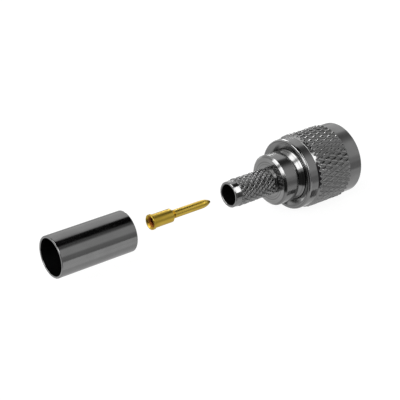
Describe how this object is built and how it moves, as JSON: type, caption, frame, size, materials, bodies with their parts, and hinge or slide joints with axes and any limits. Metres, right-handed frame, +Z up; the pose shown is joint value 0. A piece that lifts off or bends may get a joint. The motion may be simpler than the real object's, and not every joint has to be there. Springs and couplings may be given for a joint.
{
  "type": "coaxial crimp plug connector",
  "caption": "Crimp plug for coaxial cable: knurled coupling nut on a turned body with a crimp stem, with its loose centre contact and crimp ferrule in line behind it.",
  "frame": {"origin": "centre of the coupling nut's mating face, on the connector's axis", "axes": "+X along the connector's axis, out of the mating end, away from the cable; +Z up"},
  "size_m": [0.0549, 0.0122, 0.0122],
  "materials": {
    "plated_body": "polished",
    "plated_nut": "polished",
    "spring_ring": "satin",
    "insulator": "satin",
    "gold_contact": "polished",
    "plated_ferrule": "polished"
  },
  "bodies": {
    "plug": {"plug_body": "plated_body", "insulator": "insulator", "retaining_ring": "spring_ring"},
    "nut": {"coupling_nut": "plated_nut"},
    "contact": {"center_contact": "gold_contact"},
    "ferrule": {"crimp_ferrule": "plated_ferrule"}
  },
  "joints": [
    {"name": "nut_spin", "type": "hinge", "parent": "plug", "child": "nut", "pos_m": [-0.00568, 0, 0], "axis": [1, 0, 0], "continuous": true},
    {"name": "contact_insertion", "type": "slide", "parent": "plug", "child": "contact", "axis": [1, 0, 0], "range_m": [0, 0.02513]},
    {"name": "ferrule_slide", "type": "slide", "parent": "plug", "child": "ferrule", "axis": [1, 0, 0], "range_m": [0, 0.02733]}
  ]
}
